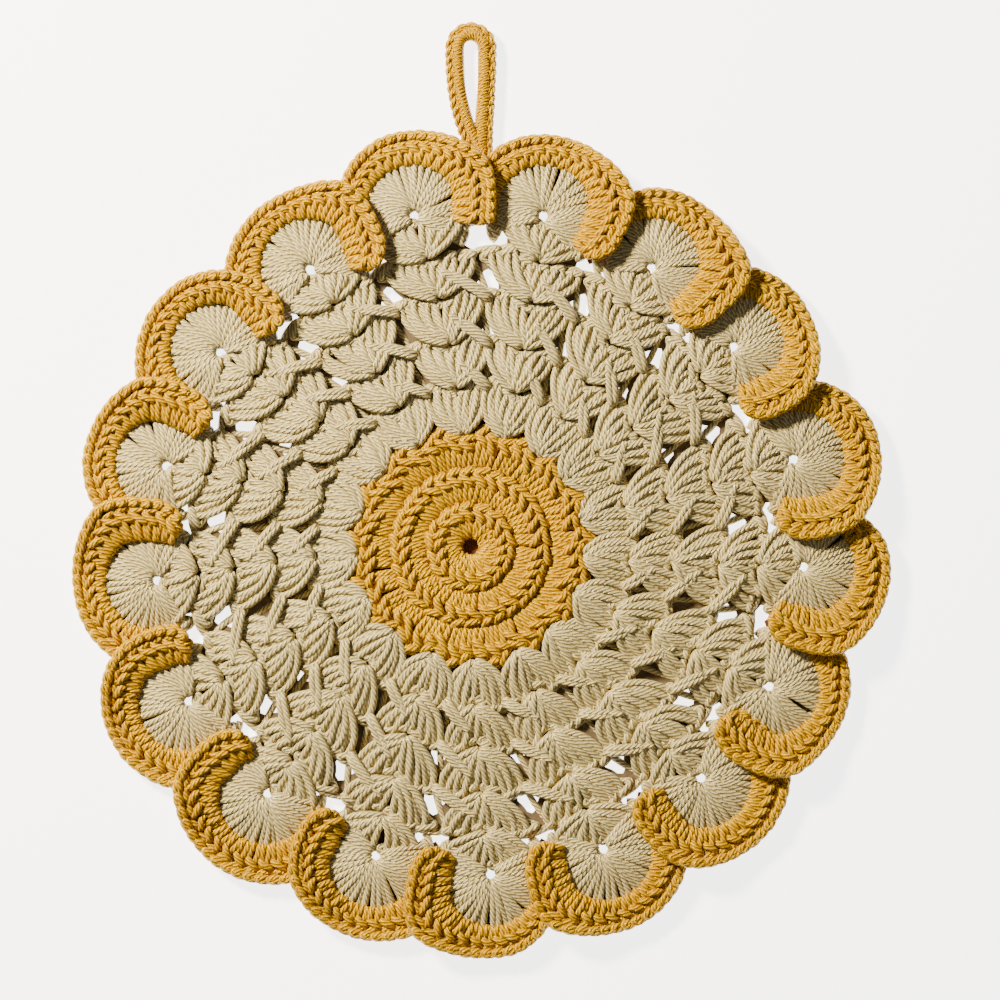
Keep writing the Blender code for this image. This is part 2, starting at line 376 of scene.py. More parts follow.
@dataclass
class YarnRun:
    """One continuous length of yarn, kept as the points that its middle passes.

    Attributes:
        rng: the seeded random numbers that make each stitch a little different.
        slack: how far a point may stray, in millimetres.
    """

    rng: np.random.Generator
    slack: float = 0.15
    points: list[np.ndarray] = field(default_factory=list)

    def work(self, route: tuple[Pass, ...], post: Post, last_head: np.ndarray, last_lift: float) -> None:
        """Take the yarn once through a stitch.

        Args:
            route: the stitch's passes.
            post: where the stitch stands.
            last_head: the head of the stitch before it.
            last_lift: that head's height over the middle of the cloth.
        """
        back, side, rise, depth = np.array(route).T
        inside = np.clip(rise, 0.0, 1.0)
        along = post.head - post.foot
        across = right_of(unit(along))
        half = post.foot_half + (post.head_half - post.foot_half) * inside
        flat = post.foot + np.outer(rise, along) + np.outer(back, last_head - post.head)
        flat = flat + np.outer(side * half + post.bow * np.sin(math.pi * inside), across)
        lift = post.foot_lift + (post.head_lift - post.foot_lift) * inside
        lift = lift + back * (last_lift - post.head_lift)
        self._lay(flat, lift, depth, (0.7, 0.7, 0.5))

    def chain(self, start: np.ndarray, end: np.ndarray, half: float, lift: float) -> None:
        """Take the yarn once through a chain link.

        Args:
            start: where the link starts.
            end: where it ends.
            half: half its width.
            lift: its height over the middle of the cloth.
        """
        back, side, _, depth = np.array(CHAIN).T
        flat = end + np.outer(back, start - end) + np.outer(side * half, right_of(unit(end - start)))
        self._lay(flat, lift, depth, (0.6, 0.6, 0.4))

    def _lay(
        self, flat: np.ndarray, lift: np.ndarray | float, depth: np.ndarray, stray: tuple[float, float, float]
    ) -> None:
        """Add the points of one stitch, each of them a little astray and none of them too low.

        Args:
            flat: rows of x, y.
            lift: the height over the middle of the cloth.
            depth: what the stitch adds to it, in yarn radii.
            stray: the share of the slack along x, y and z.
        """
        height = MID_HEIGHT + lift + depth * YARN_R + np.array([waves(x, y) for x, y in flat])
        block = np.column_stack([flat, height])
        block = block + self.rng.normal(0.0, self.slack, block.shape) * stray
        block[:, 2] = np.maximum(block[:, 2], LOWEST)
        self.points.extend(block)

    def path(self) -> np.ndarray:
        """The run as a smooth path, with points closest where it bends most.

        Returns:
            Rows of x, y, z in millimetres.
        """
        return evenly_bent(smooth_path(np.array(self.points)))


def smooth_path(points: np.ndarray, steps: int = 7) -> np.ndarray:
    """A centripetal Catmull-Rom curve through the points.

    Args:
        points: rows of x, y, z.
        steps: how many points to put on each stretch.

    Returns:
        Rows of x, y, z, close together.
    """
    padded = np.vstack([2 * points[0] - points[1], points, 2 * points[-1] - points[-2]])
    gap = np.sqrt(np.maximum(np.linalg.norm(np.diff(padded, axis=0), axis=1), 1e-4))[:, None]
    before, here, after = gap[:-2], gap[1:-1], gap[2:]
    p0, p1, p2, p3 = padded[:-3], padded[1:-2], padded[2:-1], padded[3:]
    m1 = here * ((p1 - p0) / before - (p2 - p0) / (before + here) + (p2 - p1) / here)
    m2 = here * ((p2 - p1) / here - (p3 - p1) / (here + after) + (p3 - p2) / after)
    t = (np.arange(steps) / steps)[None, :, None]
    curve = (
        (2 * t**3 - 3 * t**2 + 1) * p1[:, None]
        + (t**3 - 2 * t**2 + t) * m1[:, None]
        + (3 * t**2 - 2 * t**3) * p2[:, None]
        + (t**3 - t**2) * m2[:, None]
    )
    return np.vstack([curve.reshape(-1, 3), points[-1:]])


def evenly_bent(dense: np.ndarray, straight: float = 3.2, bend: float = 0.68) -> np.ndarray:
    """Thin a dense path, keeping more points where it bends.

    Args:
        dense: rows of x, y, z, close together.
        straight: the distance between points on a straight stretch.
        bend: the angle in radians that a point may turn by.

    Returns:
        The thinned path.
    """
    step = np.diff(dense, axis=0)
    length = np.linalg.norm(step, axis=1)
    heading = step / np.maximum(length, 1e-9)[:, None]
    turn = np.arccos(np.clip((heading[1:] * heading[:-1]).sum(axis=1), -1.0, 1.0))
    cost = length / straight
    cost[1:] += turn / bend
    total = np.concatenate([[0.0], np.cumsum(cost)])
    count = max(2, int(round(total[-1])) + 1)
    wanted = np.linspace(0.0, total[-1], count)
    return np.column_stack([np.interp(wanted, total, dense[:, axis]) for axis in range(3)])


class YarnSweep:
    """The Geometry Nodes tree that gives yarn paths their thickness.

    The mesh carries "ply": the cosine and sine of the place round the yarn, and the length along it in
    millimetres, which the yarn's material winds its plies on.
    """

    SIDES = 6

    def __init__(self) -> None:
        """Build the tree."""
        self.tree = bpy.data.node_groups.new("yarn_sweep", "GeometryNodeTree")
        self.tree.is_modifier = True
        face = self.tree.interface
        face.new_socket("Geometry", in_out="INPUT", socket_type="NodeSocketGeometry")
        self.radius = face.new_socket("Yarn radius", in_out="INPUT", socket_type="NodeSocketFloat").identifier
        self.sides = face.new_socket("Sides", in_out="INPUT", socket_type="NodeSocketInt").identifier
        self.finish = face.new_socket("Finish", in_out="INPUT", socket_type="NodeSocketMaterial").identifier
        face.new_socket("Geometry", in_out="OUTPUT", socket_type="NodeSocketGeometry")
        self._wire()

    def _wire(self) -> None:
        """Add the nodes, from the paths to the finished yarn."""
        tree = self.tree
        given = add_node(tree, "NodeGroupInput")
        along = add_node(tree, "GeometryNodeSplineParameter")
        path = add_node(tree, "GeometryNodeCaptureAttribute", {"Geometry": given.outputs["Geometry"]})
        path.capture_items.new("FLOAT", "Length")
        tree.links.new(along.outputs["Length"], path.inputs["Length"])
        circle = add_node(
            tree,
            "GeometryNodeCurvePrimitiveCircle",
            {"Resolution": given.outputs["Sides"], "Radius": given.outputs["Yarn radius"]},
        )
        place = add_node(tree, "GeometryNodeSplineParameter")
        section = add_node(tree, "GeometryNodeCaptureAttribute", {"Geometry": circle.outputs["Curve"]})
        section.capture_items.new("FLOAT", "Turn")
        tree.links.new(place.outputs["Factor"], section.inputs["Turn"])
        swept = add_node(
            tree,
            "GeometryNodeCurveToMesh",
            {
                "Curve": path.outputs["Geometry"],
                "Profile Curve": section.outputs["Geometry"],
                "Fill Caps": True,
            },
        )
        turn = {0: section.outputs["Turn"], 1: math.tau}
        angle = add_node(tree, "ShaderNodeMath", turn, operation="MULTIPLY")
        cosine = add_node(tree, "ShaderNodeMath", {0: angle.outputs[0]}, operation="COSINE")
        sine = add_node(tree, "ShaderNodeMath", {0: angle.outputs[0]}, operation="SINE")
        metres = {0: path.outputs["Length"], 1: 1.0 / MM}
        length = add_node(tree, "ShaderNodeMath", metres, operation="MULTIPLY")
        parts = {0: cosine.outputs[0], 1: sine.outputs[0], 2: length.outputs[0]}
        ply = add_node(tree, "ShaderNodeCombineXYZ", parts)
        stored = add_node(
            tree,
            "GeometryNodeStoreNamedAttribute",
            {"Geometry": swept.outputs["Mesh"], "Name": "ply"},
            data_type="FLOAT_VECTOR",
            domain="POINT",
        )
        tree.links.new(ply.outputs[0], stored.inputs["Value"])
        rounded = add_node(tree, "GeometryNodeSetShadeSmooth", {"Geometry": stored.outputs["Geometry"]})
        dressed = add_node(
            tree,
            "GeometryNodeSetMaterial",
            {"Geometry": rounded.outputs["Geometry"], "Material": given.outputs["Finish"]},
        )
        real = add_node(tree, "GeometryNodeRealizeInstances", {"Geometry": dressed.outputs["Geometry"]})
        done = add_node(tree, "NodeGroupOutput")
        tree.links.new(real.outputs["Geometry"], done.inputs["Geometry"])

    def piece(
        self,
        name: str,
        paths: list[np.ndarray],
        origin: np.ndarray,
        finish: bpy.types.Material,
        radius: float = YARN_R,
    ) -> bpy.types.Object:
        """Turn yarn paths into one finished piece, no part of which goes under the floor.

        Args:
            name: the piece's name.
            paths: rows of x, y, z in millimetres, one array for each length of yarn.
            origin: the disc's middle in the frame, in metres.
            finish: the yarn's material.
            radius: the yarn's, in millimetres.

        Returns:
            A plain mesh object at the origin, with its place in its mesh.
        """
        curve = bpy.data.curves.new(name, "CURVE")
        curve.dimensions = "3D"
        for path in paths:
            spline = curve.splines.new("POLY")
            spline.points.add(len(path) - 1)
            above = np.column_stack([path[:, :2], np.maximum(path[:, 2], radius)])
            spots = np.column_stack([above * MM + (origin[0], origin[1], 0.0), np.ones(len(path))])
            spline.points.foreach_set("co", spots.astype(np.float32).ravel())
        holder = new_object(name + "_path", curve)
        modifier = holder.modifiers.new("yarn", "NODES")
        modifier.node_group = self.tree
        modifier[self.radius] = radius * MM
        modifier[self.sides] = self.SIDES
        modifier[self.finish] = finish
        graph = bpy.context.evaluated_depsgraph_get()
        mesh = bpy.data.meshes.new_from_object(holder.evaluated_get(graph), depsgraph=graph)
        bpy.data.objects.remove(holder, do_unlink=True)
        bpy.data.curves.remove(curve)
        mesh.name = name
        piece = new_object(name, mesh)
        yarn_mm = sum(float(np.linalg.norm(np.diff(path, axis=0), axis=1).sum()) for path in paths)
        LOG.info("%s: %.1f m of yarn, %d triangles", name, yarn_mm / 1000.0, 2 * len(mesh.polygons))
        return piece


@dataclass(frozen=True)
class MercerisedCotton:
    """Mercerised cotton yarn: several thin plies twisted into one cord, smooth enough to shine a little.

    Attributes:
        name: the material's name.
        light: the colour of the top of a ply.
        painted_shade: the colour between two plies, a painted shade that darkens the creases.
        warm: a tint that drifts slowly through the cloth.
        plies: how many ridges there are round the yarn.
        lay_mm: the length of one full turn of the plies.
        roughness: of the yarn's surface.
        shine: how much the yarn's surface reflects, tinted with its own colour.
        drift_per_m: how often the tint changes in a metre, which is every 18 mm.
        fuzz_per_m: how many specks of loose fibre there are in a metre. They are 0.7 mm apart, many times
            coarser than real fibres, which are too fine to show.
        ridge_m: how deep the bump between two plies looks.
    """

    name: str
    light: str
    painted_shade: str
    warm: str
    plies: int = 5
    lay_mm: float = 7.5
    roughness: float = 0.3
    shine: float = 1.0
    drift_per_m: float = 55.0
    fuzz_per_m: float = 1500.0
    ridge_m: float = 0.00018

    def material(self) -> bpy.types.Material:
        """Build the material: plies and fibres as colour and bump, wound on the yarn's own attribute; the
        colour paints shade into the creases between plies.

        Returns:
            The material.
        """
        material, shader = new_material(self.name)
        tree = material.node_tree
        ply = add_node(tree, "ShaderNodeAttribute", attribute_name="ply")
        parts = add_node(tree, "ShaderNodeSeparateXYZ", {0: ply.outputs["Vector"]})
        round_it = {0: parts.outputs[1], 1: parts.outputs[0]}
        angle = add_node(tree, "ShaderNodeMath", round_it, operation="ARCTAN2")
        along = {0: parts.outputs[2], 1: math.tau / self.lay_mm}
        wound = add_node(tree, "ShaderNodeMath", along, operation="MULTIPLY")
        turned = add_node(tree, "ShaderNodeMath", {0: angle.outputs[0], 1: wound.outputs[0]}, operation="ADD")
        ridge = self._ridges(tree, turned.outputs[0], self.plies)
        fibre = self._ridges(tree, turned.outputs[0], self.plies * 3)
        place = add_node(tree, "ShaderNodeTexCoord")
        patches = {"Vector": place.outputs["Object"], "Scale": self.drift_per_m, "Detail": 2.0}
        drift = add_node(tree, "ShaderNodeTexNoise", patches)
        specks = {"Vector": place.outputs["Object"], "Scale": self.fuzz_per_m, "Detail": 3.0}
        fuzz = add_node(tree, "ShaderNodeTexNoise", specks)
        fine = {0: fibre.outputs[0], 1: 0.22, 2: ridge.outputs[0]}
        height = add_node(tree, "ShaderNodeMath", fine, operation="MULTIPLY_ADD")
        hairy = {0: fuzz.outputs["Fac"], 1: 0.5, 2: height.outputs[0]}
        rough = add_node(tree, "ShaderNodeMath", hairy, operation="MULTIPLY_ADD")
        tint = add_node(
            tree,
            "ShaderNodeMix",
            {0: drift.outputs["Fac"], 6: linear(self.light), 7: linear(self.warm)},
            data_type="RGBA",
        )
        lit = {0: rough.outputs[0], 1: -1.0, 2: 0.5, 3: 0.0, 4: 1.0}
        shade = add_node(tree, "ShaderNodeMapRange", lit)
        # painted shade: the colour darkens towards the creases between plies and fibres, where shade would
        # fall
        colour = add_node(
            tree,
            "ShaderNodeMix",
            {0: shade.outputs[0], 6: linear(self.painted_shade), 7: tint.outputs[2]},
            data_type="RGBA",
        )
        relief = {"Height": rough.outputs[0], "Strength": 0.9, "Distance": self.ridge_m}
        bump = add_node(tree, "ShaderNodeBump", relief)
        tree.links.new(colour.outputs[2], shader.inputs["Base Color"])
        tree.links.new(bump.outputs["Normal"], shader.inputs["Normal"])
        shader.inputs["Roughness"].default_value = self.roughness
        shader.inputs["Sheen Weight"].default_value = 0.12
        shader.inputs["Sheen Roughness"].default_value = 0.4
        shader.inputs["Sheen Tint"].default_value = linear(self.light)
        shader.inputs["Specular IOR Level"].default_value = self.shine
        shader.inputs["Specular Tint"].default_value = linear(self.light)
        return material

    @staticmethod
    def _ridges(tree: bpy.types.NodeTree, turn: bpy.types.NodeSocket, count: int) -> Any:
        """Add a wave with this many crests round the yarn."""
        times = add_node(tree, "ShaderNodeMath", {0: turn, 1: float(count)}, operation="MULTIPLY")
        return add_node(tree, "ShaderNodeMath", {0: times.outputs[0]}, operation="SINE")


@dataclass(frozen=True)
class ShadedCotton:
    """The inside of the cloth, where the same cotton lies in its own shade and shows only between stitches.

    Attributes:
        name: the material's name.
        light: the lighter colour.
        painted_shade: the darker colour of the painted shade.
        strands_per_m: how many crossing strands there are in a metre, one every 2.4 mm.
    """

    name: str
    light: str
    painted_shade: str
    strands_per_m: float = 420.0

    def material(self) -> bpy.types.Material:
        """Build the material: crossing strands as a noise of the yarn's width, rough and without shine.

        Returns:
            The material.
        """
        material, shader = new_material(self.name)
        tree = material.node_tree
        place = add_node(tree, "ShaderNodeTexCoord")
        strands = add_node(
            tree,
            "ShaderNodeTexNoise",
            {
                "Vector": place.outputs["Object"],
                "Scale": self.strands_per_m,
                "Detail": 3.0,
                "Distortion": 0.8,
            },
        )
        colour = add_node(
            tree,
            "ShaderNodeMix",
            {0: strands.outputs["Fac"], 6: linear(self.painted_shade), 7: linear(self.light)},
            data_type="RGBA",
        )
        relief = {"Height": strands.outputs["Fac"], "Strength": 0.6, "Distance": 0.0004}
        bump = add_node(tree, "ShaderNodeBump", relief)
        tree.links.new(colour.outputs[2], shader.inputs["Base Color"])
        tree.links.new(bump.outputs["Normal"], shader.inputs["Normal"])
        shader.inputs["Roughness"].default_value = 0.85
        return material


@dataclass(frozen=True)
class Paper:
    """Smooth pale paper, the plain surface that the pot holder lies on.

    Attributes:
        name: the material's name.
        colour: the paper's colour.
        glow: how strongly it shines with light of its own.
    """

    name: str = "pale_paper"
    colour: str = "f6f5f2"
    glow: float = 4.0

    def material(self) -> bpy.types.Material:
        """Build the material: matt, and lit from below like a light table, so that it stays pale.

        Returns:
            The material.
        """
        material, shader = new_material(self.name)
        shader.inputs["Base Color"].default_value = linear(self.colour)
        shader.inputs["Roughness"].default_value = 0.9
        shader.inputs["Emission Color"].default_value = linear("ffffff")
        shader.inputs["Emission Strength"].default_value = self.glow
        return material


@dataclass
class ShellPlan:
    """Where the rounds of shells stand.

    Attributes:
        base_r: the radius at which the first shells are worked into the disc.
        rounds: the radius of each round's top at the eyes; the last is the table's eye_r.
        drops: how much nearer the middle each round's top is between two columns.
    """

    base_r: float = 29.4
    rounds: tuple[float, ...] = (41.1, 52.0, 63.7, 73.8, 84.4)
    drops: tuple[float, ...] = (0.4, 0.6, 0.8, 0.9)

    @property
    def last(self) -> int:
        """The number of the outermost round."""
        return len(self.rounds)

    def share(self, level: int) -> float:
        """How far out a round is, from 0 at the disc to 1 at the eyes of the fans."""
        reach = self.rounds[-1] - self.base_r
        return 0.0 if level == 0 else (self.rounds[level - 1] - self.base_r) / reach

    def eye(self, index: int, level: int) -> tuple[float, float]:
        """The angle and radius of a column's eye at the top of a round, 0 being the disc.

        Args:
            index: the column.
            level: the round.

        Returns:
            The angle and the radius.
        """
        row, share = column(index), self.share(level)
        angle = row.base_deg + (row.eye_deg - row.base_deg) * share
        return angle, self.base_r + (row.eye_r - self.base_r) * share

    def border(self, index: int, level: int) -> tuple[float, float]:
        """The angle and radius of a round's top between this column and the next.

        Args:
            index: the column before the border.
            level: the round.

        Returns:
            The angle and the radius.
        """
        first, second = self.eye(index, level), self.eye(index + 1, level)
        if level == self.last:
            return 0.5 * (first[0] + second[0]), column(index).foot_r
        drop = self.drops[level - 1] if level else 0.0
        return 0.5 * (first[0] + second[0]), 0.5 * (first[1] + second[1]) - drop

    def top(self, index: int, level: int, across: float) -> np.ndarray:
        """A point on a round's top edge.

        Args:
            index: the column.
            level: the round.
            across: 0 at the eye, -1 and 1 at the borders before and after it.

        Returns:
            The flat point.
        """
        eye = self.eye(index, level)
        edge = self.border(index if across > 0 else index - 1, level)
        share = abs(across)
        bend = share**2 * (3.0 - 2.0 * share)
        return polar(eye[0] + (edge[0] - eye[0]) * share, eye[1] + (edge[1] - eye[1]) * bend)


@dataclass
class CentreDisc:
    """The golden disc: rounds of double crochet, the first worked into a ring.

    Attributes:
        counts: stitches in each round.
        radii: the radius of the ring's hole and of each round's top.
        star: how far the last round's top moves in at the shells and out between them.
        head_lift: how high the stitches' heads lie over the middle of the cloth.
        yarn_r: the radius of its yarn, which swells a little where it is worked so close.
    """

    counts: tuple[int, ...] = (18, 34, 51)
    radii: tuple[float, ...] = (3.1, 11.4, 20.5, 30.0)
    star: float = 2.0
    head_lift: float = 0.25
    yarn_r: float = 1.04

    def edge(self, angle: float) -> float:
        """The last round's top at this angle.

        Args:
            angle: from 0 to 360.

        Returns:
            The radius.
        """
        for index in range(-1, COUNT):
            low, high = column(index).base_deg, column(index + 1).base_deg
            if low <= angle < high:
                return self.radii[-1] - self.star * math.cos(math.tau * (angle - low) / (high - low))
        return self.radii[-1]

    def outline(self, margin: float) -> list[np.ndarray]:
        """The disc's edge, clockwise and moved outwards by a margin."""
        return [polar(angle, self.edge(angle) + margin) for angle in np.arange(0.0, 360.0, 4.0)]

    def paths(self) -> list[np.ndarray]:
        """One path for each round.

        Returns:
            The paths, from the innermost round outwards.
        """
        paths = []
        for level, count in enumerate(self.counts):
            rng = Draw.DISC.rng(level)
            run = YarnRun(rng)
            foot_r, head_r = self.radii[level], self.radii[level + 1]
            grip, foot_lift = (0.5, 0.3) if level else (0.0, 0.0)
            last: np.ndarray | None = None
            for number in range(count + 1):
                angle = 360.0 * number / count + rng.normal(0.0, 0.11) * 360.0 / count
                reach = self.edge(angle % 360.0) if level == len(self.counts) - 1 else head_r
                head = polar(angle, reach - 0.5 + rng.normal(0.0, 0.15))
                foot = polar(angle - 0.35 * 360.0 / count, foot_r + grip)
                crowd = math.pi * foot_r / count * 0.5
                room = math.pi * reach / count * 0.5
                halves = min(Post.foot_half, crowd), min(Post.head_half, room)
                post = Post(foot, head, *halves, 0.0, foot_lift, self.head_lift)
                if last is not None:
                    run.work(DOUBLE_CROCHET, post, last, self.head_lift)
                last = head
            paths.append(run.path())
        return paths


@dataclass
class ShellRounds:
    """The cream shells: in each eye half the double crochets, a chain and the other half.

    Attributes:
        plan: where the rounds stand.
        wings: for each round, where the heads of half a shell stand, from 0 at the eye to 1 at the border.
        sags: for each round, the most that a stitch may bow down towards the round below.
        lean_sags: for each round, how far a stitch that leans right over would bow.
        eye_r: how far from the eye's middle the stitches grip.
        shoulder: how far the shell's two halves rise past the eye between them.
        slump: how far the clockwise half's last stitch sinks towards the middle.
        foot_half: half the width of a stitch's foot.
        head_halves: the least and the most that half the width of its head may be.
        foot_lift: how high its foot lies over the middle of the cloth.
        chain_half: half the width of the chain link between the shell's halves.
    """

    plan: ShellPlan
    wings: tuple[tuple[float, ...], ...] = ((0.19, 0.52, 0.84),) * 3 + ((0.17, 0.49, 0.8), (0.16, 0.46, 0.76))
    sags: tuple[float, ...] = (2.6, 2.5, 2.5, 2.2, 1.2)
    lean_sags: tuple[float, ...] = (13.0, 5.2, 5.2, 5.2, 5.2)
    eye_r: float = 1.6
    shoulder: float = 3.6
    slump: float = 0.8
    foot_half: float = 0.7
    head_halves: tuple[float, float] = (0.85, 1.3)
    foot_lift: float = 1.6
    chain_half: float = 0.7

    def head(self, index: int, level: int, across: float) -> np.ndarray:
        """The head of the stitch that stands this far across its column, lowest under the next eye."""
        dip = 1.9 - self.shoulder * smooth(0.05, 0.55, abs(across)) + self.slump * max(0.0, across) ** 2
        return self.plan.top(index, level, across) - dip * polar(self.plan.eye(index, level)[0], 1.0)

    def path(self, level: int) -> np.ndarray:
        """One round as one length of yarn.

        Args:
            level: the round, 1 being the innermost.

        Returns:
            The path.
        """
        rng = Draw.SHELLS.rng(level)
        run = YarnRun(rng)
        wing, most_sag, lean_sag = self.wings[level - 1], self.sags[level - 1], self.lean_sags[level - 1]
        least_half, most_half = self.head_halves
        last = self.head(-1, level, wing[-1])
        for index in range(COUNT):
            eye_deg, eye_r = self.plan.eye(index, level - 1)
            eye, out = polar(eye_deg, eye_r), polar(eye_deg, 1.0)
            for number, across in enumerate([-share for share in reversed(wing)] + list(wing)):
                head = self.head(index, level, across) + rng.normal(0.0, 0.35, 2)
                reach = unit(head - eye)
                side = float(reach @ right_of(out))
                foot = eye + self.eye_r * unit(reach + 0.35 * out) - 0.7 * out
                sag = math.copysign(min(lean_sag * side * side, most_sag) + rng.normal(0.0, 0.3), side)
                room = min(most_half, max(least_half, 0.36 * float(np.linalg.norm(head - last))))
                foot_lift = self.foot_lift + rng.normal(0.0, 0.2)
                head_lift = -0.1 - 0.8 * across**2
                post = Post(foot, head, self.foot_half, room, sag, foot_lift, head_lift)
                if number == len(wing):
                    middle = 0.5 * (last + head) - 0.8 * out
                    run.chain(last, middle, self.chain_half, 0.1)
                    last = middle
                run.work(LONG_STITCH, post, last, head_lift)
                last = head
            if 1 < level < self.plan.last:
                self.bar(run, index, level)
        return run.path()

    def bar(self, run: YarnRun, index: int, level: int) -> None:
        """Work the slanting stitch that starts low in the gap and lies over the column's clockwise half.

        Args:
            run: the round's yarn.
            index: the column.
            level: the round.
        """
        angle, radius = self.plan.border(index, level - 1)
        low = polar(angle + 0.6, radius + 0.3)
        eye = polar(*self.plan.eye(index, level - 1))
        high = 0.45 * self.head(index, level, 0.55) + 0.55 * eye + run.rng.normal(0.0, 0.3, 2)
        post = Post(low, high, 0.5, 0.6, 0.4, 1.2, 1.1)
        run.work(LONG_STITCH, post, low, 0.0)


@dataclass
class Fans:
    """The round of fans: in each eye a half circle of double crochets that domes a little.

    Attributes:
        posts: stitches in a fan.
        start_deg: where its first stitch leans, from straight outwards.
        end_deg: where its last one leans.
        hole_r: the eye's radius.
        out_r: how far the fan reaches outwards.
        side_r: how far it reaches to its sides.
        dome: how far its middle rises.
        tuck: how much further its stitches' heads reach, under the edging.
        foot_half: half the width of a stitch's foot, which crowds with the others into the eye.
        head_half: half the width of its head.
        lean: how far round from straight outwards its free rim goes, where nothing is worked under it.
    """

    posts: int = 16
    start_deg: float = -122.0
    end_deg: float = 118.0
    hole_r: float = 2.3
    out_r: float = 13.2
    side_r: float = 11.8
    dome: float = 0.9
    tuck: float = 2.3
    foot_half: float = 0.24
    head_half: float = 0.94
    lean: float = 108.0

    def reach(self, angle: float) -> float:
        """How far the fan reaches at an angle from straight outwards."""
        return self.side_r + (self.out_r - self.side_r) * max(0.0, math.cos(math.radians(angle))) ** 0.7

    def path(self, index: int) -> np.ndarray:
        """One fan as one length of yarn.

        Args:
            index: the column.

        Returns:
            The path.
        """
        rng = Draw.FANS.rng(index)
        run = YarnRun(rng)
        scallop = SCALLOPS[index]
        last: np.ndarray | None = None
        for number in range(self.posts + 1):
            share = (number - 0.5) / (self.posts - 1)
            angle = self.start_deg + (self.end_deg - self.start_deg) * share
            tilt = 0.4 * smooth(-60.0, 90.0, angle) - 0.8
            head = around_eye(scallop, angle, self.reach(angle) + self.tuck + rng.normal(0.0, 0.2))
            foot = around_eye(scallop, angle - 3.0, self.hole_r)
            bow = rng.normal(0.0, 0.35)
            post = Post(foot, head, self.foot_half, self.head_half, bow, 0.4 + self.dome, tilt)
            if last is not None:
                run.work(LONG_STITCH, post, last, tilt)
            last = head
        return run.path()

    def rim(self, index: int, inset: float) -> list[np.ndarray]:
        """The fan's free rim, clockwise and moved inwards by an inset."""
        angles = np.linspace(-self.lean, self.lean, 11)
        return [around_eye(SCALLOPS[index], angle, self.reach(angle) - inset) for angle in angles]


